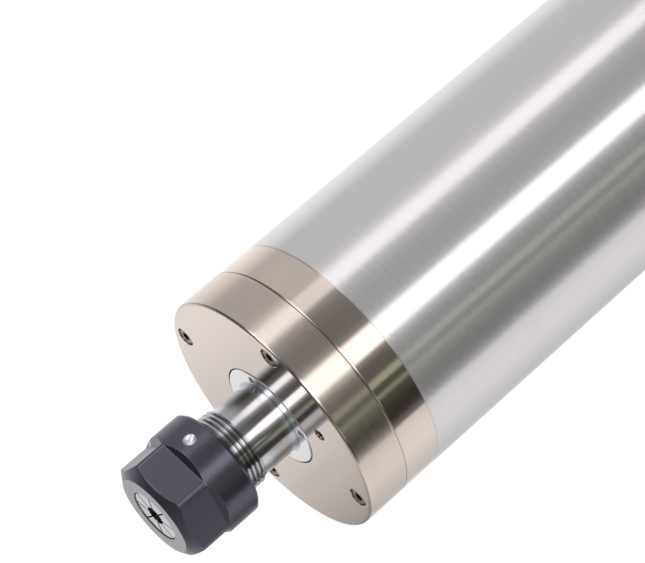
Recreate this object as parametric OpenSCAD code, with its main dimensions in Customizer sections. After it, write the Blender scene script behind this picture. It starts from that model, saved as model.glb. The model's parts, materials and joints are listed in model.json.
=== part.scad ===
// Water cooled router spindle: a cylindrical housing with a collet nose.
// The spindle axis runs along Y, the nose points to -Y and the connections to +Y.
// The origin is on the axis, half way along the jacket that the clamp holds.

/* [Housing] */
// outside diameter of the housing
body_d = 80; // [76:0.5:110]
// length from the front cover face to the rear cover face
body_l = 235; // [190:1:300]
// length of the front cover
cover_l = 14.2; // [10:0.1:20]
// length of the front bearing housing flange
ring_l = 12.2; // [9:0.1:20]
// length of the rear bearing housing flange
rear_ring_l = 6; // [5:0.1:12]
// length of the rear cover
rear_cover_l = 12; // [10:0.1:20]
// wall of the jacket tube
jacket_wall = 3; // [2:0.1:5]
// wall of the cooling sleeve inside the jacket
sleeve_wall = 6; // [5.4:0.1:9]
// chamfer of the face edges of both covers
edge_c = 0.5; // [0.2:0.1:2]
// chamfer on each side of the seams between the rings
seam_c = 0.45; // [0.1:0.05:1]
// chamfer of the fine seam at the jacket tube
fine_c = 0.15; // [0.05:0.05:0.5]

/* [Cover screws] */
// circle of the cover screws
screw_pcd = 70; // [60:0.5:72]
// how many screws hold each cover
screw_n = 4; // [3:1:8]
// thread diameter of the cover screws
screw_d = 3; // [2.5:0.5:4]
// length of the front cover screws under the head
screw_l = 34; // [30:1:40]
// length of the rear cover screws under the head
rear_screw_l = 26; // [22:1:32]
// head diameter of the cover screws
screw_head_d = 5.5; // [4.5:0.1:7]
// head height of the cover screws
screw_head_h = 3; // [2:0.1:4]
// how far the heads lie under the cover face
screw_sink = 0.3; // [0.1:0.1:1]
// radius of the purge plug from the axis
plug_pos_r = 26; // [22:0.5:30]
// clock angle of the purge plug
plug_angle = 41; // [0:1:359]
// diameter of the purge plug
plug_d = 4; // [3:0.5:5]

/* [Front bearings] */
// bore of a front bearing
fb_bore = 25; // [20:1:30]
// outside diameter of a front bearing
fb_od = 47; // [42:1:52]
// width of a front bearing
fb_w = 12; // [10:1:16]
// ball diameter of a front bearing
fb_ball = 5.8; // [4:0.1:7]
// balls in one front bearing
fb_n = 14; // [8:1:16]
// spacer between the two front bearings
fb_gap = 4; // [2:0.5:10]

/* [Rear bearings] */
// bore of a rear bearing
rb_bore = 15; // [12:1:18]
// outside diameter of a rear bearing
rb_od = 32; // [28:1:36]
// width of a rear bearing
rb_w = 9; // [8:1:12]
// ball diameter of a rear bearing
rb_ball = 4.4; // [3:0.1:5]
// balls in one rear bearing
rb_n = 12; // [8:1:14]
// spacer between the two rear bearings
rb_gap = 3; // [2:0.5:8]

/* [Motor] */
// bore of the stator
stator_bore = 34; // [30:0.5:38]
// air gap between rotor and stator
air_gap = 0.4; // [0.3:0.1:1]
// how many slots the stator has
slot_n = 18; // [12:3:24]
// width of a stator slot
slot_w = 3.6; // [2.6:0.1:4.4]
// length of each winding head
head_l = 10; // [6:0.5:14]
// diameter of the rotor bars
bar_d = 2.4; // [1.6:0.1:3]
// how many bars the rotor has
bar_n = 16; // [8:2:20]
// diameter of the shaft inside the rotor
shaft_mid_d = 22; // [19:0.5:24]
// free length between each bearing housing and the winding heads
head_gap = 6; // [3:0.5:12]

/* [Cooling] */
// width of one coolant groove
groove_w = 7; // [5:0.5:9]
// wall between two coolant grooves
groove_land = 5; // [3:0.5:8]
// depth of the coolant grooves
groove_deep = 4.4; // [4:0.1:5]
// thickness of the sealing rings of the sleeve
seal_d = 2; // [1.5:0.1:2.4]

/* [Nose] */
// diameter of the plain neck of the shaft
neck_d = 23.2; // [21:0.1:24]
// diameter of the nose thread
thread_d = 25; // [24:0.5:27]
// distance from the cover face to the thread
neck_l = 12.6; // [8:0.1:20]
// distance from the cover face to the shaft nose
nose_l = 38; // [34:0.1:46]
// outside diameter of the dust ring
dust_d = 33.2; // [30:0.1:36]
// gap around the dust ring
dust_gap = 0.4; // [0.2:0.05:1]
// how far the dust ring stands in front of the cover face
dust_proud = 0.2; // [0:0.1:1]
// thickness of the dust ring
dust_l = 6.8; // [5:0.1:9]
// diameter of the spanner holes in the dust ring
pin_hole_d = 2.3; // [1.5:0.1:3]
// circle of the spanner holes
pin_hole_pcd = 28.4; // [26:0.1:30]

/* [Collet and nut] */
// tool shank diameter that the collet holds
tool_d = 6; // [3:0.5:10]
// large diameter of the collet
collet_d = 21; // [20:0.1:22]
// length of the collet
collet_l = 31.5; // [28:0.5:34]
// diameter of the collet face
collet_face_d = 16; // [15:0.1:17]
// width of the collet slits
slit_w = 0.5; // [0.3:0.1:1]
// diameter of the collar of the nut
nut_d = 34; // [32:0.5:36]
// width across the flats of the nut
nut_af = 30; // [28:0.5:32]
// length of the nut
nut_l = 24.2; // [21:0.1:28]
// length of the hexagon with its front cone
hex_l = 12.3; // [9:0.1:15]
// diameter of the flat front face of the nut
nut_face_d = 25.8; // [22:0.1:29]
// length of the front cone of the nut
nut_cone_l = 2.8; // [1.5:0.1:4]
// clock angle of one hexagon corner
nut_angle = 62; // [0:1:359]
// diameter of the balance drilling in the collar
dimple_d = 3.8; // [2:0.1:5]
// clock angle of the balance drilling
dimple_angle = 104; // [0:1:359]

/* [Connections] */
// distance of the water fittings from the axis
port_r = 26.5; // [25:0.5:30]
// clock angle of the inlet
inlet_angle = 45; // [0:1:359]
// clock angle of the outlet
outlet_angle = 135; // [0:1:359]
// hose diameter that the fittings take
hose_d = 8; // [6:1:8]
// length of a fitting outside the rear cover
fitting_l = 19; // [16:0.5:26]
// diameter of the socket barrel
socket_d = 16; // [14:0.5:18]
// length of the socket barrel behind its flange
socket_l = 9; // [6:0.5:14]
// diameter of the socket flange
flange_d = 27; // [24.5:0.5:28]
// diameter of the socket pins
pin_d = 2; // [1.4:0.1:2.4]

/* [Clearances] */
// radial play of the collet in its taper
taper_play = 0.03; // [0.01:0.01:0.08]
// radial play of the nut thread on the nose thread
thread_play = 0.06; // [0.03:0.01:0.1]
// play between balls and races
race_play = 0.04; // [0.02:0.01:0.08]
// gap between the labyrinth ring and the cover
labyrinth_gap = 0.4; // [0.3:0.05:0.8]
// radial play of a hose in its fitting
hose_play = 0.1; // [0.05:0.01:0.3]
// radial play of a release ring in its fitting
ring_play = 0.05; // [0.02:0.01:0.1]

/* [Hidden] */
$fn = 96;
e = 0.01;
body_r = body_d / 2;
jacket_ir = body_r - jacket_wall;
sleeve_ir = jacket_ir - sleeve_wall;
jacket_z0 = cover_l + ring_l;
cap_z = body_l - rear_cover_l;
jacket_z1 = cap_z - rear_ring_l;
mid_z = (jacket_z0 + jacket_z1) / 2;

// front bearing row
fb_r = fb_od / 2;
fb_z0 = cover_l + 1;
fb_z1 = fb_z0 + 2 * fb_w + fb_gap;
spigot_z = fb_z1 + 4;
fb_pcd = (fb_bore + fb_od) / 4;
fb_wall = (fb_od - fb_bore) / 2;
shoulder_z = fb_z1 + 5;

// rear bearing row, closed by the bearing cap
rb_r = rb_od / 2;
rcap_l = 2.5;
rcap_z = jacket_z1 + 2;
rb_z1 = jacket_z1 - 1;
rb_z0 = rb_z1 - 2 * rb_w - rb_gap;
spring_l = 2.5;
rlip_z = rb_z0 - spring_l;
rspigot_z = rlip_z - 3.5;
rb_pcd = (rb_bore + rb_od) / 4;
rb_wall = (rb_od - rb_bore) / 2;
shaft_end = cap_z + 1;

// motor
core_z0 = spigot_z + head_gap + head_l;
core_z1 = rspigot_z - head_gap - head_l;
core_l = core_z1 - core_z0;
bore_r = stator_bore / 2;
rotor_r = bore_r - air_gap;
slot_r0 = bore_r + 1.2;
slot_r1 = slot_r0 + (sleeve_ir - slot_r0) * 0.62;
wedge_t = 0.8;
mid_r = shaft_mid_d / 2;
bar_r = rotor_r - bar_d / 2 - 0.6;
end_ring_l = 4;
balance_l = 4;

// coolant sleeve
groove_r = jacket_ir - groove_deep;
front_tap = screw_sink + screw_head_h + screw_l - jacket_z0 + 1;
rear_tap = screw_sink + screw_head_h + rear_screw_l - rear_cover_l - rear_ring_l + 1;
seal_z0 = jacket_z0 + front_tap + 3;
seal_z1 = jacket_z1 - rear_tap - 3;
water_z0 = seal_z0 + 3;
water_z1 = seal_z1 - 3;
groove_n = floor((water_z1 - water_z0 + groove_land) / (groove_w + groove_land));
groove_step = (water_z1 - water_z0 - groove_w) / (groove_n - 1);
feed_r = sleeve_ir + sleeve_wall / 3;
feed_d = 2.8;
cross_z = jacket_z1 + 3;
return_w = 4;
land_w = 16;

// nose
neck_r = neck_d / 2;
thread_r = thread_d / 2;
dust_r = dust_d / 2;
lab_r = dust_r - 1;
lock_r = fb_bore / 2 - 0.2;
taper = tan(8);
collet_r = collet_d / 2;
collet_z = -nose_l - 5.7;
face_r = collet_face_d / 2;
flange_z = collet_z + 2.6;
flange_r = face_r + 2.6 * tan(30);
groove_z0 = collet_z + 3;
groove_z1 = collet_z + 5;
neck_groove_r = flange_r - 0.9;
taper_z = groove_z1 + 0.4;
collet_end = collet_z + collet_l;
small_r = collet_r - (collet_end - taper_z) * taper;
seat_end = collet_end + 2;
seat_r0 = collet_r + taper_play + (taper_z + nose_l) * taper;
seat_r1 = seat_r0 - (seat_end + nose_l) * taper;

// nut
nut_r = nut_d / 2;
nut_z0 = -nose_l - 6;
nut_z1 = nut_z0 + nut_l;
hex_z = nut_z0 + hex_l;
web_z0 = groove_z0 + 0.25;
web_z1 = groove_z1 - 0.25;
ecc = 0.75;

// rear connections
wall_z = body_l - 4;
port_d = 9.8;
fit_z0 = body_l - 9;
hose_r = hose_d / 2 + hose_play;
grip_r = hose_r + 1;
fit_r = grip_r + 1.6;
fit_z1 = body_l + fitting_l;
gasket_t = 0.8;
sock_z0 = body_l + gasket_t;
sock_z1 = sock_z0 + 2;
sock_z2 = sock_z1 + socket_l;
socket_r = socket_d / 2;
insert_r = socket_r - 1.6;
pin_pos = insert_r * 0.56;
lead_d = 1.8;
lead_r = slot_r1 - 3;
lead_step = 2.019 / lead_r * 180 / PI;
lead_hole_r = 4.4;
lead_angle = 270;
water_d = 4.4;
port_seal_r = 3.1;
port_seal_d = 1.1;
rear_seal_d = 1.6;
rear_seal_r = (port_r + port_seal_r + port_seal_d + (screw_pcd - screw_d) / 2) / 2;

// puts a piece built along Z from the cover face into the shared frame
module place() translate([0, -mid_z, 0]) rotate([-90, 0, 0]) children();

// clock angle a, seen from the nose, at distance r from the axis
module at(a, r) rotate([0, 0, -a]) translate([r, 0, 0]) children();

// plain ring between two stations
module ring(ro, ri, z0, z1) {
  rotate_extrude() translate([ri, z0]) square([ro - ri, z1 - z0]);
}

// ring with chamfered outer edges
module edged(ro, ri, z0, z1, c0, c1) {
  rotate_extrude() polygon([[ri, z0], [ro - c0, z0], [ro, z0 + c0], [ro, z1 - c1],
    [ro - c1, z1], [ri, z1]]);
}

// sealing ring with centre radius r at station z
module torus(r, t, z) rotate_extrude() translate([r, z]) circle(d = t, $fn = 48);

// drilling from z0 to z1
module drill(d, z0, z1) translate([0, 0, z0]) cylinder(d = d, h = z1 - z0, $fn = 48);

// socket head screw, head top at z, shank to +z
module cap_screw(d, l, hd, hh, z) {
  difference() {
    union() {
      edged(hd / 2, 0, z, z + hh, 0.3, 0.01);
      drill(d, z + hh - e, z + hh + l);
    }
    translate([0, 0, z - 1]) cylinder(d = d * 0.96, h = 1 + hh * 0.55, $fn = 6);
  }
}

// race ring of a ball bearing: outside radius, inside radius, station, width
module race(ro, ri, z, w, pcd, ball) {
  difference() {
    edged(ro, ri, z, z + w, 0.4, 0.4);
    torus(pcd, ball + 2 * race_play, z + w / 2);
  }
}

module ball_set(n, pcd, ball, z) {
  for (i = [0:n - 1]) at(i * 360 / n, pcd) translate([0, 0, z]) sphere(d = ball, $fn = 48);
}

module cage(n, pcd, ball, z, w) {
  difference() {
    ring(pcd + ball * 0.17, pcd - ball * 0.17, z - w / 2, z + w / 2);
    for (i = [0:n - 1]) at(i * 360 / n, pcd) translate([0, 0, z]) rotate([0, 90, 0])
      cylinder(d = ball + 0.3, h = ball * 0.6, center = true, $fn = 32);
  }
}

module cover_screws(z, dir, len) {
  for (i = [0:screw_n - 1]) at(i * 360 / screw_n, screw_pcd / 2)
    translate([0, 0, z]) scale([1, 1, dir])
      cap_screw(screw_d, len, screw_head_d, screw_head_h, screw_sink);
}

module front_cover() color("#d8cfca") place() difference() {
  union() {
    edged(body_r, 0, 0, cover_l, edge_c, seam_c);
    ring(fb_r, fb_r - 3, cover_l - e, fb_z0);
  }
  ring(dust_r + dust_gap, 0, -1, dust_l - dust_proud + 0.5);
  ring(lab_r + labyrinth_gap, 0, -1, fb_z0 + 1);
  for (i = [0:screw_n - 1]) at(i * 360 / screw_n, screw_pcd / 2) {
    drill(screw_d + 0.3, -1, cover_l + 1);
    drill(screw_head_d + 0.6, -1, screw_sink + screw_head_h);
  }
  at(plug_angle, plug_pos_r) drill(plug_d, -1, cover_l + 1);
}

module front_cover_screws() color("#565450") place() cover_screws(0, 1, screw_l);

module purge_plug() color("#4a4845") place() at(plug_angle, plug_pos_r) difference() {
  edged(plug_d / 2, 0, 0.4, 6.4, 0.3, 0.3);
  translate([0, 0, -1]) cylinder(d = plug_d * 0.56, h = 3.4, $fn = 6);
}

module front_cover_seal() color("#2b2b2d") place() torus(fb_r + 5.5, seal_d, cover_l + seal_d / 2);

module front_housing() color("#d8cfca") place() difference() {
  union() {
    edged(body_r, 0, cover_l, jacket_z0, seam_c, fine_c);
    edged(sleeve_ir, 0, jacket_z0 - e, spigot_z, 0, 0.8);
  }
  ring(fb_r, 0, cover_l - 1, fb_z1);
  ring(fb_r - 3.5, 0, fb_z1 - 1, spigot_z + 1);
  ring(fb_r + 5.5 + seal_d * 0.6, fb_r + 5.5 - seal_d * 0.6, cover_l - 1, cover_l + seal_d);
  for (i = [0:screw_n - 1]) at(i * 360 / screw_n, screw_pcd / 2)
    drill(screw_d + 0.3, cover_l - 1, jacket_z0 + front_tap);
}

module jacket_tube() color("#b3b0ae") place() difference() {
  edged(body_r, 0, jacket_z0, jacket_z1, fine_c, fine_c);
  ring(jacket_ir, 0, jacket_z0 - 1, jacket_z1 + 1);
}

// coolant grooves: open rings, joined left and right of the return channel in turn,
// and a first full ring that the return channel starts from
module grooves() {
  floor_r = groove_r + 0.4;
  difference() {
    for (i = [0:groove_n - 1])
      ring(jacket_ir + 1, groove_r, water_z0 + i * groove_step, water_z0 + i * groove_step + groove_w);
    at(outlet_angle, groove_r - 1) translate([0, -land_w / 2, water_z0 + groove_w + 0.5])
      cube([groove_deep + 3, land_w, water_z1 - water_z0]);
  }
  for (i = [0:groove_n - 2]) at(outlet_angle + (i % 2 == 0 ? 20 : -20), floor_r)
    translate([0, -3, water_z0 + i * groove_step + groove_w - 1])
      cube([groove_deep + 1, 6, groove_step - groove_w + 2]);
  at(outlet_angle, floor_r) translate([0, -return_w / 2, water_z0 + groove_w - 1])
    cube([groove_deep + 1, return_w, water_z1 - water_z0 - groove_w]);
}

module cooling_sleeve() color("#9fa3a6") place() difference() {
  ring(jacket_ir, sleeve_ir, jacket_z0, jacket_z1);
  grooves();
  for (z = [seal_z0, seal_z1])
    ring(jacket_ir + 1, jacket_ir - seal_d, z - seal_d * 0.6, z + seal_d * 0.6);
  for (a = [inlet_angle, outlet_angle]) at(a, feed_r) drill(feed_d, water_z1 - 3, jacket_z1 + 1);
  for (i = [0:screw_n - 1]) at(i * 360 / screw_n, screw_pcd / 2) {
    drill(screw_d, jacket_z0 - 1, jacket_z0 + front_tap);
    drill(screw_d, jacket_z1 - rear_tap, jacket_z1 + 1);
  }
}

module sleeve_seals() color("#2b2b2d") place() {
  for (z = [seal_z0, seal_z1]) torus(jacket_ir - seal_d / 2, seal_d, z);
}

module slot_box(w, r0, r1, z0, z1) {
  for (i = [0:slot_n - 1]) at(i * 360 / slot_n, r0) translate([0, -w / 2, z0])
    cube([r1 - r0, w, z1 - z0]);
}

module stator_core() color("#6d7278") place() difference() {
  ring(sleeve_ir, bore_r, core_z0, core_z1);
  slot_box(slot_w, slot_r0, slot_r1, core_z0 - 1, core_z1 + 1);
  slot_box(slot_w * 0.45, bore_r - 1, slot_r0 + 1, core_z0 - 1, core_z1 + 1);
}

module stator_winding() color("#a8612c") place() {
  slot_box(slot_w - 0.1, slot_r0 + wedge_t, slot_r1 - 0.05, core_z0 - 1, core_z1 + 1);
  edged(slot_r1 + 0.6, slot_r0 + wedge_t, core_z0 - head_l, core_z0, 2, 0.4);
  edged(slot_r1 + 0.6, slot_r0 + wedge_t, core_z1, core_z1 + head_l, 0.4, 2);
}

module slot_wedges() color("#c9b27a") place()
  slot_box(slot_w - 0.04, slot_r0, slot_r0 + wedge_t, core_z0, core_z1);

// one lead: along the winding side, through the housing, across and in to its socket pin
module lead(i) {
  a = lead_angle + (i - 1.5) * lead_step;
  r = lead_r + (i % 2 - 0.5) * lead_d;
  pa = lead_angle + (i - 1.5) * 90;
  x0 = r * cos(a);
  y0 = -r * sin(a);
  x1 = pin_pos * cos(pa);
  y1 = -pin_pos * sin(pa);
  z0 = core_z1 + head_l;
  z1 = wall_z - (i == 0 || i == 3 ? 4.6 : 2.4);
  translate([x0, y0, z0]) cylinder(d = lead_d, h = z1 - z0, $fn = 48);
  translate([x0, y0, z1]) sphere(d = lead_d + 0.2, $fn = 48);
  translate([x0, y0, z1]) rotate([0, 90, atan2(y1 - y0, x1 - x0)])
    cylinder(d = lead_d, h = norm([x1 - x0, y1 - y0]), $fn = 48);
  translate([x1, y1, z1]) sphere(d = lead_d + 0.2, $fn = 48);
  translate([x1, y1, z1]) cylinder(d = lead_d, h = wall_z - 1 - z1, $fn = 48);
}

module phase_leads() color("#b03a2e") place() for (i = [0:3]) lead(i);

module front_outer_rings() color("#c9cccf") place() for (i = [0, 1])
  race(fb_r, fb_r - fb_wall * 0.34, fb_z0 + i * (fb_w + fb_gap), fb_w, fb_pcd, fb_ball);

module front_outer_spacer() color("#b8bbbe") place()
  ring(fb_r, fb_r - 3, fb_z0 + fb_w, fb_z0 + fb_w + fb_gap);

module front_balls() color("#e4e6e8") place() for (i = [0, 1])
  ball_set(fb_n, fb_pcd, fb_ball, fb_z0 + fb_w / 2 + i * (fb_w + fb_gap));

module front_cages() color("#8a5a2b") place() for (i = [0, 1])
  cage(fb_n, fb_pcd, fb_ball, fb_z0 + fb_w / 2 + i * (fb_w + fb_gap), fb_w - 2);

module front_inner_rings() color("#c9cccf") place() for (i = [0, 1])
  race(fb_bore / 2 + fb_wall * 0.34, fb_bore / 2, fb_z0 + i * (fb_w + fb_gap), fb_w, fb_pcd, fb_ball);

module front_inner_spacer() color("#b8bbbe") place()
  ring(fb_bore / 2 + 3, fb_bore / 2, fb_z0 + fb_w, fb_z0 + fb_w + fb_gap);

module rear_housing() color("#d0c9c4") place() difference() {
  union() {
    edged(body_r, 0, jacket_z1, cap_z, fine_c, seam_c);
    edged(sleeve_ir, 0, rspigot_z, jacket_z1 + e, 0.8, 0);
  }
  ring(rb_r, 0, rlip_z, cap_z + 1);
  ring(rb_r - 3, 0, rspigot_z - 1, rlip_z + 1);
  ring(rb_r + 6, 0, rcap_z, cap_z + 1);
  ring(rear_seal_r + rear_seal_d * 0.6, rear_seal_r - rear_seal_d * 0.6, cap_z - rear_seal_d, cap_z + 1);
  for (i = [0:screw_n - 1]) at(i * 360 / screw_n, screw_pcd / 2)
    drill(screw_d + 0.3, jacket_z1 - rear_tap, cap_z + 1);
  for (i = [0:2]) at(90 + i * 120, rb_r + 3) drill(2.5, rcap_z - 6, rcap_z + 1);
  for (a = [inlet_angle, outlet_angle]) {
    at(a, port_r) drill(water_d, cross_z - 2, cap_z + 1);
    at(a, port_r) ring(port_seal_r + port_seal_d * 0.6, port_seal_r - port_seal_d * 0.6,
      cap_z - port_seal_d, cap_z + 1);
    at(a, feed_r) drill(feed_d, jacket_z1 - 1, cross_z);
    at(a, port_r) translate([0, 0, cross_z]) rotate([0, 90, 0])
      cylinder(d = feed_d - 0.4, h = feed_r - port_r + 0.6, $fn = 48);
  }
  at(lead_angle, lead_r) drill(lead_hole_r * 2, rspigot_z - 1, cap_z + 1);
}

module rear_outer_rings() color("#c9cccf") place() for (i = [0, 1])
  race(rb_r, rb_r - rb_wall * 0.34, rb_z0 + i * (rb_w + rb_gap), rb_w, rb_pcd, rb_ball);

module rear_outer_spacer() color("#b8bbbe") place()
  ring(rb_r, rb_r - 2.4, rb_z0 + rb_w, rb_z0 + rb_w + rb_gap);

module rear_balls() color("#e4e6e8") place() for (i = [0, 1])
  ball_set(rb_n, rb_pcd, rb_ball, rb_z0 + rb_w / 2 + i * (rb_w + rb_gap));

module rear_cages() color("#8a5a2b") place() for (i = [0, 1])
  cage(rb_n, rb_pcd, rb_ball, rb_z0 + rb_w / 2 + i * (rb_w + rb_gap), rb_w - 2);

module rear_inner_rings() color("#c9cccf") place() for (i = [0, 1])
  race(rb_bore / 2 + rb_wall * 0.34, rb_bore / 2, rb_z0 + i * (rb_w + rb_gap), rb_w, rb_pcd, rb_ball);

module rear_inner_spacer() color("#b8bbbe") place()
  ring(rb_bore / 2 + 2.4, rb_bore / 2, rb_z0 + rb_w, rb_z0 + rb_w + rb_gap);

// disc spring between the housing lip and the first rear bearing
module preload_spring() color("#5b6066") place() rotate_extrude()
  polygon([[rb_r - 0.8, rlip_z], [rb_r, rlip_z], [rb_r, rlip_z + 0.8],
    [rb_r - 2.4, rb_z0], [rb_r - 3, rb_z0], [rb_r - 3, rb_z0 - 0.8]]);

module rear_bearing_cap() color("#a9acaf") place() difference() {
  union() {
    edged(rb_r + 6, 0, rcap_z, rcap_z + rcap_l, 0.01, 0.4);
    ring(rb_r, 0, rb_z1, rcap_z + e);
  }
  ring(rb_r - 3.6, 0, rb_z1 - 1, rcap_z + rcap_l + 1);
  for (i = [0:2]) at(90 + i * 120, rb_r + 3) {
    drill(2.8, rcap_z - 1, rcap_z + rcap_l + 1);
    drill(5, rcap_z + rcap_l - 1, rcap_z + rcap_l + 1);
  }
  at(lead_angle, lead_r) drill(lead_hole_r * 2, rb_z1 - 1, rcap_z + rcap_l + 1);
}

module bearing_cap_screws() color("#565450") place()
  for (i = [0:2]) at(90 + i * 120, rb_r + 3) translate([0, 0, rcap_z + rcap_l])
    scale([1, 1, -1]) cap_screw(2.5, 5, 4.5, 1.5, -0.5);

module rear_locknut() color("#7d8287") place() difference() {
  edged(rb_r - 5, 0, rb_z1, rb_z1 + 6, 0.4, 0.4);
  drill(rb_bore - 0.4, rb_z1 - 1, rb_z1 + 8);
  for (i = [0:3]) rotate([0, 0, i * 90]) translate([rb_r - 6.2, -1.5, rb_z1 + 2]) cube([4, 3, 5]);
}

module rear_cover_seal() color("#2b2b2d") place()
  torus(rear_seal_r, rear_seal_d, cap_z - rear_seal_d / 2);

module port_seals() color("#2b2b2d") place()
  for (a = [inlet_angle, outlet_angle]) at(a, port_r)
    torus(port_seal_r, port_seal_d, cap_z - port_seal_d / 2);

module rear_cover() color("#d8cfca") place() difference() {
  edged(body_r, 0, cap_z, body_l, seam_c, edge_c);
  ring(rb_r + 3, 0, cap_z - 1, wall_z);
  at(lead_angle, lead_r) drill(lead_hole_r * 2, cap_z - 1, wall_z);
  at(lead_angle, rb_r - 2) translate([0, -lead_hole_r, cap_z - 1])
    cube([lead_r - rb_r + 2, lead_hole_r * 2, wall_z - cap_z + 1]);
  drill(socket_d, wall_z - 1, body_l + 1);
  for (i = [0:screw_n - 1]) at(i * 360 / screw_n, screw_pcd / 2) {
    drill(screw_d + 0.3, cap_z - 1, body_l + 1);
    drill(screw_head_d + 0.6, body_l - screw_sink - screw_head_h, body_l + 1);
  }
  for (a = [inlet_angle, outlet_angle]) at(a, port_r) {
    drill(water_d, cap_z - 1, body_l);
    drill(port_d, fit_z0, body_l + 1);
  }
  for (i = [0:3]) at(45 + i * 90, flange_d / 2 - 2.4) drill(2, wall_z + 0.6, body_l + 1);
}

module rear_cover_screws() color("#565450") place() cover_screws(body_l, -1, rear_screw_l);

module fitting() {
  difference() {
    union() {
      ring(port_d / 2, 0, fit_z0, body_l + 1.3);
      intersection() {
        translate([0, 0, body_l + 1.2]) cylinder(r = 7.4, h = 5.3, $fn = 6);
        edged(7.1, 0, body_l + 1.2, body_l + 6.5, 0.5, 0.5);
      }
      edged(fit_r, 0, body_l + 6, fit_z1, 0.01, 0.6);
    }
    drill(5, fit_z0 - 1, fit_z1);
    ring(hose_r, 0, body_l + 3, fit_z1 + 1);
    ring(grip_r + ring_play, 0, fit_z1 - 7, fit_z1 + 1);
  }
}

module release_ring() difference() {
  union() {
    ring(grip_r, 0, fit_z1 - 5, fit_z1 + 2);
    edged(fit_r - 0.5, 0, fit_z1 + 1.9, fit_z1 + 4, 0.3, 0.6);
  }
  drill(hose_r * 2, fit_z1 - 6, fit_z1 + 5);
}

module port_washer() color("#2b2b2d") ring(6.4, port_d / 2, body_l, body_l + 1.2);

module inlet_fitting() color("#c8a45a") place() at(inlet_angle, port_r) fitting();
module inlet_seal() place() at(inlet_angle, port_r) port_washer();
module inlet_release_ring() color("#2f5fa8") place() at(inlet_angle, port_r) release_ring();
module outlet_fitting() color("#c8a45a") place() at(outlet_angle, port_r) fitting();
module outlet_seal() place() at(outlet_angle, port_r) port_washer();
module outlet_release_ring() color("#2f5fa8") place() at(outlet_angle, port_r) release_ring();

module flange_holes(d, z0, z1) {
  for (i = [0:3]) at(45 + i * 90, flange_d / 2 - 2.4) drill(d, z0, z1);
}

module socket_gasket() color("#2b2b2d") place() difference() {
  ring(flange_d / 2, socket_r, body_l, sock_z0);
  flange_holes(2.4, body_l - 1, sock_z0 + 1);
}

module socket_shell() color("#c4c6c8") place() difference() {
  union() {
    ring(socket_r, 0, wall_z, sock_z1);
    edged(flange_d / 2, 0, sock_z0, sock_z1, 0.01, 0.4);
    edged(socket_r, 0, sock_z0, sock_z2, 0, 0.6);
  }
  drill(insert_r * 2, wall_z - 1, sock_z2 + 1);
  flange_holes(2.4, sock_z0 - 1, sock_z1 + 1);
}

module socket_insert() color("#26282b") place() difference() {
  edged(insert_r, 0, wall_z, sock_z1 + 2, 0.01, 0.3);
  for (i = [0:3]) at(lead_angle + (i - 1.5) * 90, pin_pos) drill(pin_d, wall_z - 1, sock_z2);
}

module socket_pins() color("#d9b95c") place()
  for (i = [0:3]) at(lead_angle + (i - 1.5) * 90, pin_pos) {
    drill(pin_d, wall_z - 1, sock_z2 - 1.6);
    translate([0, 0, sock_z2 - 1.6]) sphere(d = pin_d, $fn = 48);
  }

module socket_screws() color("#8d8f92") place()
  for (i = [0:3]) at(45 + i * 90, flange_d / 2 - 2.4) translate([0, 0, sock_z1])
    scale([1, 1, -1]) cap_screw(2, 5, 3.8, 1.4, -1.4);

module shaft() color("#c4c6c8") place() difference() {
  rotate_extrude() polygon([[0, -nose_l], [thread_r - 1, -nose_l], [thread_r, -nose_l + 1],
    [thread_r, -neck_l - 0.9], [neck_r, -neck_l], [neck_r, -dust_proud],
    [lock_r - 0.1, -dust_proud], [lock_r, 0.1 - dust_proud],
    [lock_r, fb_z0 - 2], [fb_bore / 2, fb_z0 - 2], [fb_bore / 2, fb_z1],
    [fb_bore / 2 + 3, fb_z1], [fb_bore / 2 + 3, shoulder_z], [mid_r, shoulder_z],
    [mid_r, rb_z0 - 6], [rb_bore / 2 + 2.4, rb_z0 - 6], [rb_bore / 2 + 2.4, rb_z0],
    [rb_bore / 2, rb_z0], [rb_bore / 2, rb_z1], [rb_bore / 2 - 0.2, rb_z1],
    [rb_bore / 2 - 0.2, shaft_end - 0.8], [rb_bore / 2 - 1, shaft_end], [0, shaft_end]]);
  rotate_extrude() polygon([[0, -nose_l - 1], [seat_r0 + taper, -nose_l - 1],
    [seat_r1, seat_end], [tool_d / 2 + 2, seat_end + 1], [tool_d / 2 + 2, fb_z0],
    [0, fb_z0 + tool_d / 2 + 2]]);
}

module dust_ring() color("#eef0f2") place() difference() {
  edged(dust_r, lock_r, -dust_proud, dust_l - dust_proud, 0.3, 0.3);
  for (i = [0:3]) at(30 + i * 90, pin_hole_pcd / 2) drill(pin_hole_d, -1, 2.2);
}

module labyrinth_ring() color("#b8bbbe") place() difference() {
  ring(lab_r, lock_r, dust_l - dust_proud, fb_z0);
  ring(fb_bore / 2, 0, fb_z0 - 2, fb_z0 + 1);
  for (i = [0, 1]) ring(lab_r + 1, lab_r - 0.8, dust_l + 1.4 + i * 2.4, dust_l + 2.4 + i * 2.4);
}

module rotor_core() color("#6d7278") place() difference() {
  ring(rotor_r, mid_r, core_z0, core_z1);
  for (i = [0:bar_n - 1]) at(i * 360 / bar_n, bar_r) drill(bar_d, core_z0 - 1, core_z1 + 1);
}

module rotor_cage() color("#b7babd") place() {
  for (i = [0:bar_n - 1]) at(i * 360 / bar_n, bar_r) drill(bar_d, core_z0 - 1, core_z1 + 1);
  for (z = [core_z0 - end_ring_l, core_z1])
    ring(rotor_r - 0.3, bar_r - bar_d / 2 - 0.6, z, z + end_ring_l);
}

module balance_rings() color("#c2a04f") place()
  for (z = [core_z0 - end_ring_l - balance_l, core_z1 + end_ring_l]) difference() {
    edged(rotor_r - 0.6, mid_r, z, z + balance_l, 0.4, 0.4);
    for (i = [0, 1]) at(70 + i * 40, rotor_r - 3.2) drill(2, z - 1, z + balance_l + 1);
  }

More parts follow.
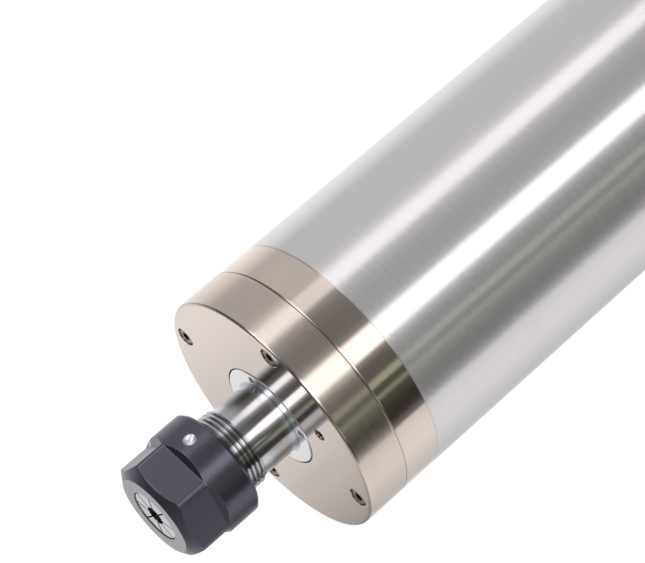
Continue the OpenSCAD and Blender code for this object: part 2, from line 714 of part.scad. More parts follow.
// collet with slits cut from both ends in turn
module collet() color("#d4d6d8") place() difference() {
  rotate_extrude() polygon([[tool_d / 2, collet_z], [face_r, collet_z], [flange_r, flange_z],
    [flange_r, groove_z0], [neck_groove_r, groove_z0], [neck_groove_r, groove_z1],
    [collet_r, groove_z1], [collet_r, taper_z], [small_r, collet_end],
    [tool_d / 2, collet_end]]);
  for (i = [0:7]) {
    rotate([0, 0, -nut_angle - i * 45]) translate([0, -slit_w / 2, collet_z - 1])
      cube([collet_d, slit_w, collet_l - 4]);
    rotate([0, 0, -nut_angle - 22.5 - i * 45]) translate([0, -slit_w / 2, collet_z + 5.5])
      cube([collet_d, slit_w, collet_l]);
  }
}

// one milled flat with its sloping shoulder
module flat_cut() rotate([90, 0, 0]) linear_extrude(height = nut_d * 2, center = true)
  polygon([[nut_af / 2, nut_z0 - 2], [nut_af / 2, hex_z], [nut_af / 2 + 4, hex_z + 3],
    [nut_af / 2 + 4, nut_z0 - 2]]);

module collet_nut() color("#45444a") place() difference() {
  rotate_extrude() polygon([[0, nut_z0], [nut_face_d / 2, nut_z0], [nut_r, nut_z0 + nut_cone_l],
    [nut_r, nut_z1 - 1], [nut_r - 1, nut_z1], [0, nut_z1]]);
  for (i = [0:5]) rotate([0, 0, -nut_angle - 30 - i * 60]) flat_cut();
  rotate_extrude() polygon([[0, nut_z0 - 1], [face_r + 0.5, nut_z0 - 1], [face_r + 0.2, nut_z0 + 0.2],
    [flange_r + 0.08, flange_z - 0.1], [flange_r + 0.3, web_z0], [0, web_z0]]);
  at(nut_angle + 180, ecc) drill((flange_r + 0.1) * 2, web_z0 - 1, web_z1 + 1);
  ring(thread_r + thread_play, 0, web_z1, nut_z1 + 1);
  at(dimple_angle, nut_r - 1.14) translate([0, 0, nut_z1 - 6.3]) rotate([0, 90, 0])
    cylinder(r1 = 0, r2 = dimple_d, h = 2.28, $fn = 48);
}

front_cover();
front_cover_screws();
purge_plug();
front_cover_seal();
front_housing();
jacket_tube();
cooling_sleeve();
sleeve_seals();
stator_core();
stator_winding();
slot_wedges();
phase_leads();
front_outer_rings();
front_outer_spacer();
front_balls();
front_cages();
front_inner_rings();
front_inner_spacer();
rear_housing();
rear_outer_rings();
rear_outer_spacer();
rear_balls();
rear_cages();
rear_inner_rings();
rear_inner_spacer();
preload_spring();
rear_bearing_cap();
bearing_cap_screws();
rear_locknut();
rear_cover_seal();
port_seals();
rear_cover();
rear_cover_screws();
inlet_fitting();
inlet_seal();
inlet_release_ring();
outlet_fitting();
outlet_seal();
outlet_release_ring();
socket_gasket();
socket_shell();
socket_insert();
socket_pins();
socket_screws();
shaft();
dust_ring();
labyrinth_ring();
rotor_core();
rotor_cage();
balance_rings();
collet();
collet_nut();
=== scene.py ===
import bpy, bmesh, json, math
from mathutils import Matrix, Vector


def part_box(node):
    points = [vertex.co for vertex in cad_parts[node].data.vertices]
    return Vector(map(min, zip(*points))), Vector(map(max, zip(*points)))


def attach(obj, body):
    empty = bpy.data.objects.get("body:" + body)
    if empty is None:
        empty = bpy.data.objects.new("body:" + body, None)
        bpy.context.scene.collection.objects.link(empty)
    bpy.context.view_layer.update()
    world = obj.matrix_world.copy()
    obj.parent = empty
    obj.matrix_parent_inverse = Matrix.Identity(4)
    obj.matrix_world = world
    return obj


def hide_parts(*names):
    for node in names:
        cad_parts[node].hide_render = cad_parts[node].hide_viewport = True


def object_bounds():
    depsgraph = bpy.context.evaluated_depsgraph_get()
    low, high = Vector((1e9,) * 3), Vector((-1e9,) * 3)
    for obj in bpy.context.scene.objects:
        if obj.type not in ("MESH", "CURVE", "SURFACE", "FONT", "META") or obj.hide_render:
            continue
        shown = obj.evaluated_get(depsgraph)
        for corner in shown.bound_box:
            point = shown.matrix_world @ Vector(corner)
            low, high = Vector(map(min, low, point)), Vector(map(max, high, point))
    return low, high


# The looks of a motor spindle. Outside pieces are modelled over their CAD nodes, and the
# nodes that stay get their finishes. The spindle's axis is Y and its nose points to -Y.

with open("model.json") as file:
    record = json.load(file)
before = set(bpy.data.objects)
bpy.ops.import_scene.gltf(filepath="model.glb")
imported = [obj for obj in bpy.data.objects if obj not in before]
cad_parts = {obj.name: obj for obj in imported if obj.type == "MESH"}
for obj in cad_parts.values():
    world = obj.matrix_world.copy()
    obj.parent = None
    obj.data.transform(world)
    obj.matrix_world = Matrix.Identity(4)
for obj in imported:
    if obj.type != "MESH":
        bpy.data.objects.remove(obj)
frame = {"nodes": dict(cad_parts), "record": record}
cad_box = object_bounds()

MM = 0.001
SLOT = {sub["node"]: sub["material_slot"] for sub in frame["record"]["subparts"]}
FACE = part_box("front_cover")[0][1]
SHARP = 30            # edges sharper than this many degrees are drawn sharp


# ---------------------------------------------------------------- mesh tools
# Stations are millimetres along the axis from the front cover face, as the CAD has them,
# and clock angles turn from +X towards +Z.

def spot(r, a, z, at=(0, 0)):
    """Point at radius r, clock angle a and station z; at is an axis beside the spindle's,
    as (clock angle, radius)."""
    t, c = math.radians(a), math.radians(at[0])
    return Vector(((r * math.cos(t) + at[1] * math.cos(c)) * MM, FACE + z * MM,
                   (r * math.sin(t) + at[1] * math.sin(c)) * MM))


def rounded(prof, closed):
    """Corners (r, z, radius) become arcs, each with a support ring on both sides."""
    out, n = [], len(prof)
    for i, p in enumerate(prof):
        c = Vector(p[:2])
        rad = p[2] if len(p) > 2 else 0
        if not rad or (not closed and i in (0, n - 1)):
            out.append(c)
            continue
        a, b = Vector(prof[i - 1][:2]) - c, Vector(prof[(i + 1) % n][:2]) - c
        la, lb = a.length, b.length
        a, b = a / la, b / lb
        half = a.angle(b) / 2
        if half > math.pi / 2 - 0.02:
            out.append(c)
            continue
        t = min(rad / math.tan(half), 0.42 * la, 0.42 * lb)
        rad = t * math.tan(half)
        mid = c + (a + b).normalized() * (rad / math.sin(half))
        s, e = c + a * t - mid, c + b * t - mid
        turn = math.pi - 2 * half
        steps = max(2, math.ceil(turn / math.radians(20)))
        out.append(c + a * min(t * 1.25 + 0.01, 0.48 * la))
        for k in range(steps + 1):
            u, v = turn * (1 - k / steps), turn * k / steps
            out.append(mid + (s * math.sin(u) + e * math.sin(v)) / math.sin(turn))
        out.append(c + b * min(t * 1.25 + 0.01, 0.48 * lb))
    return [(p[0], p[1]) for p in out]


def smooth(me, sharp):
    me.shade_smooth()
    me.set_sharp_from_angle(angle=math.radians(sharp))


def make_object(bm, name):
    me = bpy.data.meshes.new(name)
    bm.to_mesh(me)
    bm.free()
    ob = bpy.data.objects.new(name, me)
    bpy.context.scene.collection.objects.link(ob)
    return ob


def finish_mesh(bm, name, sharp=SHARP):
    bmesh.ops.remove_doubles(bm, verts=bm.verts, dist=2e-7)
    bmesh.ops.dissolve_degenerate(bm, edges=bm.edges, dist=1e-7)
    bmesh.ops.recalc_face_normals(bm, faces=bm.faces)
    ob = make_object(bm, name)
    smooth(ob.data, sharp)
    return ob


def swept(name, column, angles, at=(0, 0), closed=True, sharp=SHARP):
    """A skin through one list of (r, z) for each clock angle; closed joins its ends."""
    bm = bmesh.new()
    cols = [[bm.verts.new(spot(r, a, z, at)) for r, z in column(a)] for a in angles]
    n = len(cols[0])
    for i, col in enumerate(cols):
        nxt = cols[(i + 1) % len(cols)]
        for k in range(n if closed else n - 1):
            m = (k + 1) % n
            bm.faces.new((col[k], col[m], nxt[m], nxt[k]))
    return finish_mesh(bm, name, sharp)


def lathe(name, prof, n=192, at=(0, 0), closed=True):
    """A profile of (r, z) or (r, z, radius) corners, turned in n steps."""
    pts = rounded(prof, closed)
    return swept(name, lambda a: pts, [360 * i / n for i in range(n)], at, closed)


def join(name, obs):
    bm = bmesh.new()
    for o in obs:
        bm.from_mesh(o.data)
        bpy.data.objects.remove(o)
    return make_object(bm, name)


def cut(ob, tool, sharp=SHARP):
    """Take tool away from ob."""
    m = ob.modifiers.new("cut", "BOOLEAN")
    m.object, m.operation, m.solver = tool, "DIFFERENCE", "EXACT"
    me = bpy.data.meshes.new_from_object(
        ob.evaluated_get(bpy.context.evaluated_depsgraph_get()))
    ob.modifiers.clear()
    ob.data = me
    bpy.data.objects.remove(tool)
    bm = bmesh.new()
    bm.from_mesh(me)
    bmesh.ops.dissolve_degenerate(bm, edges=bm.edges, dist=1e-7)
    bm.to_mesh(me)
    bm.free()
    smooth(me, sharp)
    return ob


def sink(at, r, z0, z1, rim=0.12, n=64):
    """Cutter for a hole from the face at z0 down to z1, with a small chamfer at its mouth."""
    d = 1 if z1 > z0 else -1
    return lathe("tool", [(0, z0 - d), (r + rim + 1, z0 - d), (r, z0 + d * rim), (r, z1),
                          (0, z1)], n, at, False)


def hexagon(at, r, z0, z1, turn=0):
    """Cutter for a hexagon socket, r to its corners."""
    return swept("tool", lambda a: [(0, z0), (r, z0), (r, z1), (0, z1)],
                 [turn + 60 * i for i in range(6)], at, False)


def flat_at(a, first, count):
    """Angle from the middle of the nearest of count flats."""
    step = 360 / count
    return (a - first + step / 2) % step - step / 2


def soft_min(a, b, k):
    """The smaller of two, with the corner between them rounded over k."""
    h = max(k - abs(a - b), 0) / k
    return min(a, b) - h * h * k / 4


# ---------------------------------------------------------------- materials

class Nodes:
    """Short calls that add nodes to a tree; a value is a number, a colour or a socket."""

    def __init__(self, tree):
        self.t = tree

    def node(self, kind, ins=(), **props):
        n = self.t.nodes.new("ShaderNode" + kind)
        for k, v in props.items():
            setattr(n, k, v)
        for i, v in enumerate(ins):
            if v is None:
                continue
            if isinstance(v, bpy.types.NodeSocket):
                self.t.links.new(v, n.inputs[i])
            else:
                n.inputs[i].default_value = v
        return n

    def math(self, op, *ins):
        return self.node("Math", ins, operation=op).outputs[0]

    def vec(self, op, *ins):
        n = self.node("VectorMath", ins, operation=op)
        return n.outputs["Value"] if op in ("LENGTH", "DOT_PRODUCT") else n.outputs[0]

    def noise(self, where, scale, detail=3, rough=0.5, w=None):
        n = self.node("TexNoise", noise_dimensions="1D" if w is not None else "3D")
        if w is not None:
            self.t.links.new(w, n.inputs["W"])
        else:
            self.t.links.new(where, n.inputs["Vector"])
        n.inputs["Scale"].default_value = scale
        n.inputs["Detail"].default_value = detail
        n.inputs["Roughness"].default_value = rough
        return n.outputs["Fac"]

    def span(self, v, a, b, lo, hi):
        return self.node("MapRange", [v, a, b, lo, hi]).outputs[0]

    def mix(self, f, a, b):
        n = self.node("Mix", data_type="RGBA")
        for s, v in ((n.inputs[0], f), (n.inputs[6], a), (n.inputs[7], b)):
            if isinstance(v, bpy.types.NodeSocket):
                self.t.links.new(v, s)
            else:
                s.default_value = v if isinstance(v, float) else (*v, 1)
        return n.outputs[2]

    def ramp(self, v, stops, top=1.0):
        """Colour ramp over v, with levels written as they are and divided by top inside."""
        n = self.node("ValToRGB", [v])
        e = n.color_ramp.elements
        while len(e) > 1:
            e.remove(e[-1])
        for i, (p, c) in enumerate(stops):
            el = e[0] if i == 0 else e.new(p)
            el.position = p
            el.color = (*(k / top for k in ((c, c, c) if isinstance(c, (int, float)) else c)), 1)
        return n.outputs[0]


class Mat(Nodes):
    def __init__(self, name):
        self.m = bpy.data.materials.new(name)
        self.m.use_nodes = True
        super().__init__(self.m.node_tree)
        self.b = self.t.nodes["Principled BSDF"]

    def bump(self, h, strength, dist=0.0002, after=None):
        n = self.node("Bump")
        n.inputs["Strength"].default_value = strength
        n.inputs["Distance"].default_value = dist
        self.t.links.new(h, n.inputs["Height"])
        if after:
            self.t.links.new(after, n.inputs["Normal"])
        return n.outputs[0]

    def put(self, name, v):
        s = self.b.inputs[name]
        if isinstance(v, bpy.types.NodeSocket):
            self.t.links.new(v, s)
        else:
            s.default_value = v


def shade(c, k):
    """Colour c made k times as bright."""
    return tuple(min(1.0, x * k) for x in c)


def turned(name, color, rough, lines=0.25, pitch=0.25, tone=0.06, aniso=0.4, metal=1.0,
           smear=0.05, haze=None, wear=0.0, pit=0.0):
    """Metal with turning lines round the spindle's axis, faint stains and a little edge wear.

    lines is the depth of the lines and pitch their width in mm, tone the change in colour,
    smear the change in roughness, and pit the depth of the fine grain. haze is (share,
    roughness): that share of the fine lines is duller than the rest."""
    m = Mat(name)
    co = m.node("TexCoord").outputs["Object"]
    flat = m.vec("MULTIPLY", co, (1, 0, 1))
    w = m.math("ADD", m.vec("LENGTH", flat), m.node("SeparateXYZ", [co]).outputs[1])
    fine = m.noise(None, 1 / (pitch * MM), 2, 0.6, w)
    wide = m.noise(None, 0.22 / (pitch * MM), 1, 0.5, w)
    cloud = m.noise(co, 38, 4, 0.55)
    speck = m.noise(co, 900, 2, 0.5)
    lum = m.math("ADD", m.math("MULTIPLY", m.math("SUBTRACT", wide, 0.5), 0.9),
                 m.math("SUBTRACT", cloud, 0.5))
    f = m.span(lum, -0.35, 0.35, 0, 1)
    base = m.mix(f, shade(color, 1 - tone), shade(color, 1 + tone))
    shiny = metal
    if wear:
        edge = m.span(m.node("NewGeometry").outputs["Pointiness"], 0.51, 0.56, 0, 1)
        worn = m.math("MULTIPLY", edge, m.span(m.noise(co, 420, 3, 0.6), 0.4, 0.62, 0.15, wear))
        base = m.mix(worn, base, (0.62, 0.61, 0.60))
        if metal < 1:
            shiny = m.math("MAXIMUM", worn, metal)
    m.put("Base Color", base)
    r = m.math("ADD", m.span(fine, 0.3, 0.7, rough * 0.85, rough * 1.2),
               m.span(cloud, 0.35, 0.7, -smear * 0.4, smear))
    if haze:
        dull = m.noise(None, 1 / (0.01 * MM), 0, 0.5, w)
        at_least = 0.5 + 0.30 * (0.5 - haze[0])
        r = m.math("MAXIMUM", r, m.span(dull, at_least - 0.02, at_least + 0.02, 0, haze[1]))
    m.put("Roughness", r)
    m.put("Metallic", shiny)
    m.put("Anisotropic", aniso)
    if aniso:
        tan = m.node("Tangent", direction_type="RADIAL", axis="Y")
        m.put("Tangent", tan.outputs[0])
        m.put("Anisotropic Rotation", 0.25)
    b = m.bump(m.math("ADD", fine, m.math("MULTIPLY", wide, 0.5)), lines, 0.00001)
    if pit:
        b = m.bump(speck, pit, 0.00003, b)
    m.put("Normal", b)
    return m.m


def moulded(name, color, rough, grain=900, bump=0.2, tone=0.12):
    """Plastic or rubber with a fine grain."""
    m = Mat(name)
    co = m.node("TexCoord").outputs["Object"]
    cloud = m.noise(co, 60, 4, 0.6)
    fine = m.noise(co, grain, 3, 0.6)
    m.put("Base Color", m.mix(m.span(cloud, 0.3, 0.7, 0, 1), shade(color, 1 - tone),
                              shade(color, 1 + tone)))
    m.put("Roughness", m.span(m.math("ADD", fine, cloud), 0.7, 1.3, rough * 0.85, rough * 1.15))
    m.put("Normal", m.bump(fine, bump, 0.00004))
    return m.m


def laminated(name, color):
    """A stack of 0.5 mm steel sheets."""
    m = Mat(name)
    co = m.node("TexCoord").outputs["Object"]
    y = m.node("SeparateXYZ", [co]).outputs[1]
    saw = m.math("PINGPONG", m.math("MULTIPLY", y, 1000), 0.25)
    cloud = m.noise(co, 50, 4, 0.6)
    m.put("Base Color", m.mix(m.span(cloud, 0.35, 0.65, 0, 1), shade(color, 0.8), color))
    m.put("Roughness", m.span(cloud, 0.3, 0.7, 0.35, 0.55))
    m.put("Metallic", 0.8)
    m.put("Normal", m.bump(saw, 0.5, 0.0001))
    return m.m


def wound(name, color):
    """Enamelled copper wire."""
    m = Mat(name)
    co = m.node("TexCoord").outputs["Object"]
    strand = m.node("TexWave", wave_type="BANDS", bands_direction="X")
    m.t.links.new(m.vec("MULTIPLY", co, (1, 0.05, 1)), strand.inputs["Vector"])
    strand.inputs["Scale"].default_value = 700
    strand.inputs["Distortion"].default_value = 6
    cloud = m.noise(co, 90, 4, 0.6)
    m.put("Base Color", m.mix(m.span(cloud, 0.3, 0.7, 0, 1), shade(color, 0.65), color))
    m.put("Roughness", m.span(strand.outputs["Fac"], 0, 1, 0.25, 0.45))
    m.put("Metallic", 0.6)
    m.put("Normal", m.bump(strand.outputs["Fac"], 0.6, 0.0002))
    return m.m


MATS = {
    "cover_steel": turned("cover_steel", (0.75, 0.655, 0.59), 0.20, lines=0.02, pitch=0.12,
                          tone=0.02, aniso=1.0, metal=0.98, smear=0.02, haze=(0.03, 0.45)),
    "jacket_steel": turned("jacket_steel", (0.77, 0.74, 0.75), 0.20, lines=0.006, pitch=0.05,
                           tone=0.012, aniso=1.0, metal=0.82, smear=0.02, haze=(0.13, 0.5)),
    "shaft_steel": turned("shaft_steel", (0.62, 0.638, 0.68), 0.13, lines=0.02, pitch=0.12,
                          tone=0.03, aniso=1.0, smear=0.01),
    "ring_steel": turned("ring_steel", (0.97, 0.965, 0.98), 0.12, lines=0.03, pitch=0.15,
                         tone=0.02, aniso=0.0, metal=0.85, smear=0.02),
    "bearing_steel": turned("bearing_steel", (0.68, 0.69, 0.70), 0.12, lines=0.08, pitch=0.15),
    "black_oxide": turned("black_oxide", (0.116, 0.109, 0.143), 0.25, lines=0.01, pitch=0.02,
                          tone=0.02, aniso=0.0, metal=0.88, smear=0.05, wear=0.9, pit=0.02),
    "collet_steel": turned("collet_steel", (0.60, 0.605, 0.625), 0.2, lines=0.2, pitch=0.12,
                           tone=0.05, aniso=0.3, smear=0.06),
    "screw_steel": turned("screw_steel", (0.22, 0.21, 0.20), 0.26, lines=0.15, pitch=0.1,
                          tone=0.15, aniso=0.0, smear=0.08, wear=0.4),
    "sleeve_aluminium": turned("sleeve_aluminium", (0.62, 0.64, 0.66), 0.3, pitch=0.4),
    "rotor_aluminium": turned("rotor_aluminium", (0.70, 0.71, 0.72), 0.35, pitch=0.4, pit=0.3),
    "brass": turned("brass", (0.70, 0.53, 0.25), 0.2, pitch=0.2),
    "nickel": turned("nickel", (0.72, 0.70, 0.66), 0.16, lines=0.15, pitch=0.15, aniso=0.0),
    "gold": turned("gold", (0.86, 0.66, 0.28), 0.16, lines=0.1, pitch=0.1, aniso=0.0),
    "spring_steel": turned("spring_steel", (0.34, 0.36, 0.39), 0.25, pitch=0.2),
    "lamination": laminated("lamination", (0.34, 0.36, 0.38)),
    "copper": wound("copper", (0.62, 0.27, 0.11)),
    "wedge": moulded("wedge", (0.66, 0.56, 0.32), 0.5, 400),
    "lead_jacket": moulded("lead_jacket", (0.48, 0.07, 0.05), 0.4, 1200),
    "cage": moulded("cage", (0.36, 0.21, 0.09), 0.45, 700, 0.3),
    "rubber": moulded("rubber", (0.022, 0.022, 0.024), 0.5, 1400, 0.3),
    "release_plastic": moulded("release_plastic", (0.035, 0.09, 0.30), 0.38, 1500, 0.12),
    "insulator": moulded("insulator", (0.02, 0.02, 0.022), 0.42, 1500, 0.15),
}
POLISHED = turned("cover_steel_fine", (0.75, 0.655, 0.59), 0.09, lines=0.015, pitch=0.12,
                  tone=0.02, aniso=0.5, smear=0.02)
# Paler, duller steel on some of the nut's edges: the hexagon's corners and the shoulder's edge on
# every other flat.
PALE_EDGE = turned("black_oxide_pale_edge", (0.25, 0.245, 0.27), 0.30, lines=0.1, pitch=0.15,
              tone=0.15, aniso=0.0, metal=0.9, smear=0.05)
NUT_FACE = turned("black_oxide_face", (0.34, 0.335, 0.36), 0.28, lines=0.1, pitch=0.15,
                  tone=0.05, aniso=0.0, smear=0.05)
# Darker steel on the thread's flanks: painted shade; the crests and roots keep the shaft's steel.
FLANK_SHADE = turned("shaft_steel_flank_shade", (0.42, 0.42, 0.425), 0.11, lines=0.02, pitch=0.2,
                tone=0.05, aniso=0.0, smear=0.04)
BARE = turned("collet_steel_bare", (0.80, 0.80, 0.83), 0.36, lines=0.15, pitch=0.12,
              tone=0.05, aniso=0.0, metal=0.85, smear=0.06)


def piece(ob, node, body, finish=None):
    """The modelled piece takes the place of its CAD node."""
    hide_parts(node)
    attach(ob, body)
    ob.data.materials.clear()
    ob.data.materials.append(finish or MATS[SLOT[node]])
    ob.name = node + "_look"


def more_finish(ob, finish, where):
    """Another finish on the faces for which where(centre, normal) is true."""
    index = len(ob.data.materials)
    ob.data.materials.append(finish)
    for f in ob.data.polygons:
        if where(f.center, f.normal):
            f.material_index = index


# ---------------------------------------------------------------- housing
BODY_R, FINE = 40, 288                 # the body's radius, and the steps round it
# Stations of the seams: front cover's end, jacket's ends, rear cover's ends.
COVER_END, JACKET_0, JACKET_1, BACK, CAP_END = 14.2, 26.4, 217, 223, 235
SCREWS = [(90 * i, 35) for i in range(4)]
SINK_R, SINK_DEPTH = 3.05, 3.3         # counterbores of the cover screws
PLUG = (41, 26)
INLET, OUTLET = (45, 26.5), (135, 26.5)

cover = lathe("cover", [(17, 0, 0.12), (BODY_R, 0, 0.8), (BODY_R, COVER_END, 0.45),
                        (23.5, COVER_END), (23.5, 15.2), (20.5, 15.2), (20.5, COVER_END),
                        (16, COVER_END), (16, 7.1), (17, 7.1)], FINE)
cut(cover, join("tool", [sink(p, SINK_R, 0, SINK_DEPTH) for p in SCREWS]
                + [sink(PLUG, 2, 0, 15)]))
cut(cover, join("tool", [sink(p, 1.65, SINK_DEPTH, 15) for p in SCREWS]))
piece(cover, "front_cover", "housing")
# Its face and both bevels are finer than its side.
more_finish(cover, POLISHED, lambda c, n: abs(n.y) > 0.02
            and (c.y < FACE + 0.85 * MM or c.y > FACE + 13.7 * MM))

ring = lathe("ring", [(23.5, COVER_END), (27.8, COVER_END), (27.8, 16.2), (30.2, 16.2),
                      (30.2, COVER_END), (BODY_R, COVER_END, 0.45), (BODY_R, 26.25, 0.06),
                      (39.85, JACKET_0, 0.04), (31, JACKET_0), (31, 46.4), (30.2, 47.2),
                      (20, 47.2), (20, 43.2), (23.5, 43.2)], FINE)
piece(ring, "front_housing", "housing", POLISHED)

jacket = lathe("jacket", [(37, JACKET_0), (39.85, JACKET_0, 0.04), (BODY_R, 26.55, 0.06),
                          (BODY_R, 216.85, 0.06), (39.85, JACKET_1, 0.04),
                          (37, JACKET_1)], FINE)
piece(jacket, "jacket_tube", "housing")

rear = lathe("rear", [(16, 192.5), (13, 192.5), (13, 189), (30.2, 189), (31, 189.8),
                      (31, JACKET_1), (39.85, JACKET_1, 0.04), (BODY_R, 217.15, 0.06),
                      (BODY_R, 222.55, 0.1), (39.55, BACK, 0.08), (22, BACK), (22, 219),
                      (16, 219)], FINE)
piece(rear, "rear_housing", "housing")

cap = lathe("cap", [(19, BACK), (39.55, BACK, 0.08), (BODY_R, 223.45, 0.1),
                    (BODY_R, 234.5, 0.14), (39.5, CAP_END, 0.14), (8, CAP_END), (8, 231),
                    (19, 231)], FINE)
cut(cap, join("tool", [sink(p, SINK_R, CAP_END, 231.7) for p in SCREWS]
              + [sink(p, 4.9, CAP_END, 226) for p in (INLET, OUTLET)]))
piece(cap, "rear_cover", "housing")


def cap_screws(name, spots, d, length, hd, hh, top, way, turn):
    """Socket head screws: crowned rim, hexagon socket with a chamfered mouth.

    d and length are the thread's, hd and hh the head's diameter and height. The head starts
    at station top, and the screw goes on towards way. turn sets the sockets' clock angles."""
    def z(v):
        return top + way * v

    out, r = [], d * 0.48
    for i, at in enumerate(spots):
        s = lathe(name, [(0, z(0)), (hd / 2 - 0.3, z(0), 0.12), (hd / 2, z(0.3), 0.15),
                         (hd / 2, z(hh), 0.05), (d / 2, z(hh)), (d / 2, z(hh + length)),
                         (0, z(hh + length))], 64, at, False)
        cut(s, hexagon(at, r, z(-1), z(hh * 0.55), turn + 17 * i))
        cut(s, lathe("tool", [(0, z(-0.5)), (r + 0.55, z(-0.5)), (r - 0.12, z(0.17)),
                              (0, z(0.17))], 48, at, False))
        out.append(s)
    return join(name, out)


piece(cap_screws("screws", SCREWS, d=3, length=34, hd=5.5, hh=3, top=0.3, way=1, turn=10),
      "front_cover_screws", "housing")
piece(cap_screws("screws", SCREWS, d=3, length=26, hd=5.5, hh=3, top=234.7, way=-1, turn=25),
      "rear_cover_screws", "housing")

plug = lathe("plug", [(0, 0.4), (1.7, 0.4, 0.1), (2, 0.7), (2, 6.1), (1.7, 6.4), (0, 6.4)],
             48, PLUG, False)
cut(plug, hexagon(PLUG, 1.12, -1, 2.4, 8))
piece(plug, "purge_plug", "housing")

# ---------------------------------------------------------------- shaft
PITCH, CREST, ROOT = 1.5, 12.47, 11.6
Z0, Z1 = -38.0, -12.6                  # the thread's ends
# One turn of the thread: (share of the pitch, radius).
TURN = ((0, CREST - 0.03), (0.02, CREST), (0.115, CREST), (0.135, CREST - 0.03),
        (0.43, ROOT + 0.04), (0.455, ROOT), (0.67, ROOT), (0.695, ROOT + 0.04))


def shaft_column(a):
    """The shaft's section at clock angle a: its bore and cone, its thread, and the rest."""
    pts = [(0, 20.2), (5, 15.2), (5, -9.2), (6.581, -10.2), (10.488, Z0 + 0.02), (10.6, Z0)]
    k = -1
    while k * PITCH < Z1 - Z0 + PITCH:
        for share, r in TURN:
            z = min(max(Z0 + (k + share + a / 360) * PITCH, Z0), Z1)
            pts.append((min(r, 11.5 + (z - Z0), CREST, ROOT + (Z1 - z)), z))
        k += 1
    return pts + rounded([(ROOT, Z1), (ROOT, Z1 + 0.06), (ROOT, -0.2, 0.05), (12.2, -0.2, 0.03),
                          (12.3, -0.1), (12.3, 13.2), (12.5, 13.2), (12.5, 43.2),
                          (15.5, 43.2), (15.5, 48.2), (11, 48.2), (11, 189), (9.9, 189),
                          (9.9, 195), (7.5, 195), (7.5, 216), (7.3, 216), (7.3, 223.2),
                          (6.5, 224), (0, 224)], False)


shaft = swept("shaft", shaft_column, [i * 2.5 for i in range(144)], closed=False, sharp=28)
piece(shaft, "shaft", "rotor")
# Painted shade: the thread's flanks take the darker steel.
more_finish(shaft, FLANK_SHADE, lambda c, n: Z0 < (c.y - FACE) / MM < Z1 - 0.05
            and abs(n.y) > 0.4)        # the thread's flanks only

dust = lathe("dust", [(12.3, -0.2, 0.1), (16.3, -0.2, 0.1), (16.6, 0.1, 0.1), (16.6, 6.3),
                      (16.3, 6.6), (12.3, 6.6)], 192)
cut(dust, join("tool", [sink((30 + 90 * i, 14.2), 1.15, -0.2, 2.2, 0.1, 40) for i in range(4)]))
piece(dust, "dust_ring", "rotor")

# ---------------------------------------------------------------- collet and nut
CZ = -43.7                             # the collet's face
collet = lathe("collet", [(3, CZ, 0.12), (8, CZ, 0.12), (9.5, CZ + 2.6), (9.5, CZ + 3),
                          (8.6, CZ + 3), (8.6, CZ + 5), (10.5, CZ + 5), (10.5, CZ + 5.4),
                          (6.832, CZ + 31.5, 0.2), (3, CZ + 31.5, 0.1)])


def slit(a, z0, z1, half=0.25, r0=1.5, r1=12):
    """Cutter for a slit at clock angle a, half of its width on each side."""
    bm = bmesh.new()
    t = math.radians(a)
    out, side = Vector((math.cos(t), 0, math.sin(t))), Vector((-math.sin(t), 0, math.cos(t)))
    vs = [bm.verts.new((out * r + side * s) * MM + Vector((0, FACE + z * MM, 0)))
          for z in (z0, z1) for r, s in ((r0, -half), (r1, -half), (r1, half), (r0, half))]
    for f in ((0, 1, 2, 3), (7, 6, 5, 4), (0, 4, 5, 1), (1, 5, 6, 2), (2, 6, 7, 3), (3, 7, 4, 0)):
        bm.faces.new([vs[i] for i in f])
    return finish_mesh(bm, "tool")


cut(collet, join("tool", [slit(62 + 45 * i, CZ - 1, CZ + 26.5) for i in range(8)]))
cut(collet, join("tool", [slit(84.5 + 45 * i, CZ + 5.5, CZ + 33, 0.25, 2) for i in range(8)]))
piece(collet, "collet", "collet")

NZ0, NZ1 = -44.0, -19.8                # the nut's front and back
HEX, CORNER = -31.7, 62                # back end of its flats, clock angle of one corner
FLAT_0 = CORNER + 30                   # the middle of the flat beside that corner
COLLAR_R, FLAT_R = 17, 15
CONE_R, CONE_L = 12.9, 2.8             # the front cone starts at this radius, and its length
EASE = 0.16                            # rounding of the nut's edges
CLOSE = (0, 0.04, 0.09, 0.16, 0.3)     # rings beside an edge, in mm


def nut_column(a):
    """The nut's section at clock angle a, with rings crowded beside each edge."""
    c = math.cos(math.radians(flat_at(a, FLAT_0, 6)))
    cone_end = NZ0 + min((FLAT_R / c - CONE_R) * CONE_L / 4.1, CONE_L)
    shoulder_end = max(HEX + (COLLAR_R * c - FLAT_R) * 0.75, HEX + 0.02)

    def skin(z):
        cone = CONE_R + (z - NZ0) * 4.1 / CONE_L
        body = soft_min(cone, soft_min(COLLAR_R, 16 + (NZ1 - z), EASE), EASE)
        flat = FLAT_R + max(0, (z - HEX)) * 4 / 3
        return soft_min(body, flat / c, EASE)

    edges = [NZ0, cone_end, HEX, shoulder_end, NZ1 - 1, NZ1]
    counts = (6, 14, 4, 18, 2)         # even rings between the edges
    zs = []
    for i, (p, q) in enumerate(zip(edges, edges[1:])):
        k = min(1, (q - p) / 0.8)
        lo, hi = p + 0.31 * k, q - 0.31 * k
        zs += [p + k * d for d in CLOSE] if i else [p, p + 0.1, p + 0.3]
        zs += [lo + (hi - lo) * (j + 0.5) / counts[i] for j in range(counts[i])]
        zs += [q - k * d for d in reversed(CLOSE[1:])]
    zs.append(NZ1)
    bore = [(12.56, NZ1), (12.56, -38.95), (9.8, -38.95), (9.7, -40.45), (9.7, -40.5)]
    mouth = rounded([(9.58, -41.2), (8.2, NZ0 + 0.2, 0.05), (8.5, NZ0)], False)
    return bore + mouth + [(8.62, NZ0), (12.6, NZ0)] + [(skin(z), z) for z in zs]


